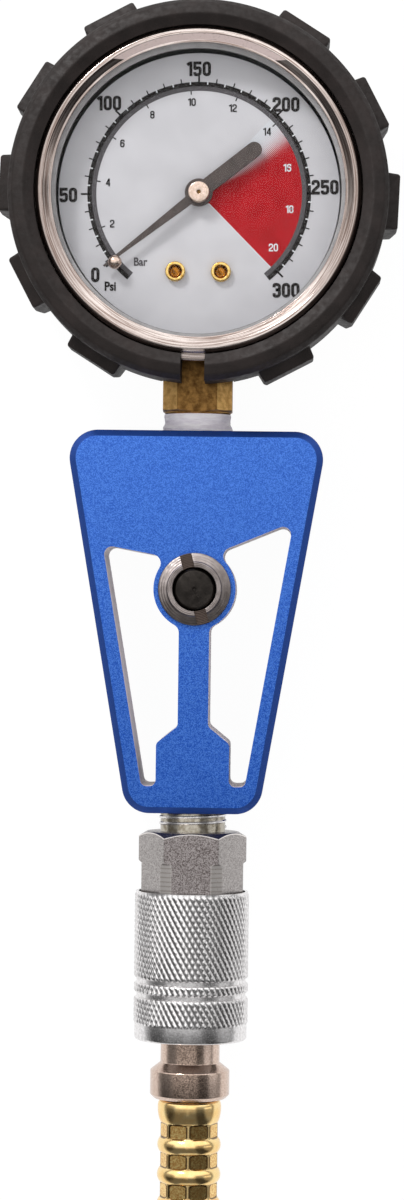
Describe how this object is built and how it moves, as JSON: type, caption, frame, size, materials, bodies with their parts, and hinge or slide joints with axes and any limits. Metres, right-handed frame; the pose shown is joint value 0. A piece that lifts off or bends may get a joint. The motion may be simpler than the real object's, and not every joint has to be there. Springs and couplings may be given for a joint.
{
  "type": "compression tester gauge",
  "caption": "Round dial pressure gauge in a ribbed rubber boot on a windowed blue block, with a release button and a quick coupler holding a hose plug and crimped ferrule.",
  "frame": {"origin": "middle of the outer box, on the surface that the tool lies on", "axes": "+Z out of the dial, +Y from the hose end to the gauge end, +X to the right of the dial"},
  "size_m": [0.0806, 0.2444, 0.0316],
  "materials": {
    "boot_rubber": "matte black rubber",
    "seal_rubber": "smooth black rubber",
    "bezel_chrome": "polished",
    "case_steel": "drawn sheet",
    "clear_lens": "clear",
    "grey_gasket": "matte",
    "dial_print": "printed white",
    "pointer_black": "matte black",
    "brass": "machined",
    "bright_brass": "polished",
    "warm_nickel": "nickel plated",
    "white_tape": "thin thread seal tape",
    "blue_anodised": "blue anodised",
    "turned_steel": "turned",
    "button_black": "black anodised",
    "zinc_steel": "zinc plated",
    "spring_steel": "bright"
  },
  "bodies": {
    "frame": {"back_plate": "brass", "bezel_ring": "bezel_chrome", "bourdon_tube": "bright_brass", "button_spring": "spring_steel", "coupler_body": "zinc_steel", "dial_plate": "dial_print", "dial_post_1": "brass", "dial_post_2": "brass", "dial_screw_1": "bright_brass", "dial_screw_2": "bright_brass", "front_plate": "brass", "gauge_block": "blue_anodised", "gauge_case": "case_steel", "hairspring": "spring_steel", "lens": "clear_lens", "lens_gasket": "grey_gasket", "locking_ball_1": "spring_steel", "locking_ball_2": "spring_steel", "locking_ball_3": "spring_steel", "locking_ball_4": "spring_steel", "plate_pillar_1": "brass", "plate_pillar_2": "brass", "plate_pillar_3": "brass", "plug_seal": "seal_rubber", "poppet_spring": "spring_steel", "rubber_boot": "boot_rubber", "sleeve_spring": "spring_steel", "socket_stem": "brass", "stop_pin": "warm_nickel", "thread_tape": "white_tape", "valve_nut": "turned_steel", "valve_poppet": "brass"},
    "pointer": {"pointer": "pointer_black", "pointer_hub": "warm_nickel", "pinion_arbor": "brass"},
    "sector": {"sector_gear": "brass", "sector_arbor": "brass"},
    "link": {"link": "brass"},
    "tube_tip": {"tube_tip": "brass"},
    "button": {"release_button": "button_black", "valve_stem": "turned_steel", "stem_seal": "seal_rubber"},
    "ring": {"retaining_ring": "spring_steel"},
    "sleeve": {"coupler_sleeve": "zinc_steel"},
    "hose": {"hose_plug": "warm_nickel", "ferrule": "bright_brass", "hose_end": "boot_rubber"}
  },
  "joints": [
    {"name": "pointer_turn", "type": "hinge", "parent": "frame", "child": "pointer", "pos_m": [0, 0.08435, 0.0246], "axis": [0, 0, -1], "range_deg": [0, 262], "stiffness_Nm_per_rad": 0.0001, "springref_deg": -11.46, "deforming": ["hairspring"]},
    {"name": "sector_swing", "type": "hinge", "parent": "frame", "child": "sector", "pos_m": [0.01376, 0.07471, 0.0159], "axis": [0, 0, 1], "range_deg": [0, 29.2]},
    {"name": "link_swing", "type": "hinge", "parent": "sector", "child": "link", "pos_m": [0.01809, 0.07221, 0.0171], "axis": [0, 0, 1], "range_deg": [-28, 0]},
    {"name": "tip_swing", "type": "hinge", "parent": "frame", "child": "tube_tip", "pos_m": [-0.0055, 0.08901, 0.0116], "axis": [0, 0, 1], "range_deg": [0, 5.6], "deforming": ["bourdon_tube"]},
    {"name": "button_press", "type": "slide", "parent": "frame", "child": "button", "axis": [0, 0, -1], "range_m": [0, 0.002], "stiffness_N_per_m": 1200, "springref_m": -0.003, "deforming": ["button_spring"]},
    {"name": "sleeve_spin", "type": "hinge", "parent": "frame", "child": "ring", "pos_m": [0, -0.08345, 0.0116], "axis": [0, 1, 0], "continuous": true},
    {"name": "sleeve_draw", "type": "slide", "parent": "ring", "child": "sleeve", "axis": [0, 1, 0], "range_m": [0, 0.005], "stiffness_N_per_m": 2000, "springref_m": -0.004, "deforming": ["sleeve_spring"]},
    {"name": "hose_swivel", "type": "hinge", "parent": "frame", "child": "hose", "pos_m": [0, -0.08995, 0.0116], "axis": [0, 1, 0], "continuous": true}
  ],
  "couplings": [
    {"joint": "sector_swing", "follows": "pointer_turn", "ratio": 0.11111},
    {"joint": "link_swing", "follows": "pointer_turn", "ratio": -0.1033},
    {"joint": "tip_swing", "follows": "pointer_turn", "ratio": 0.0209}
  ]
}
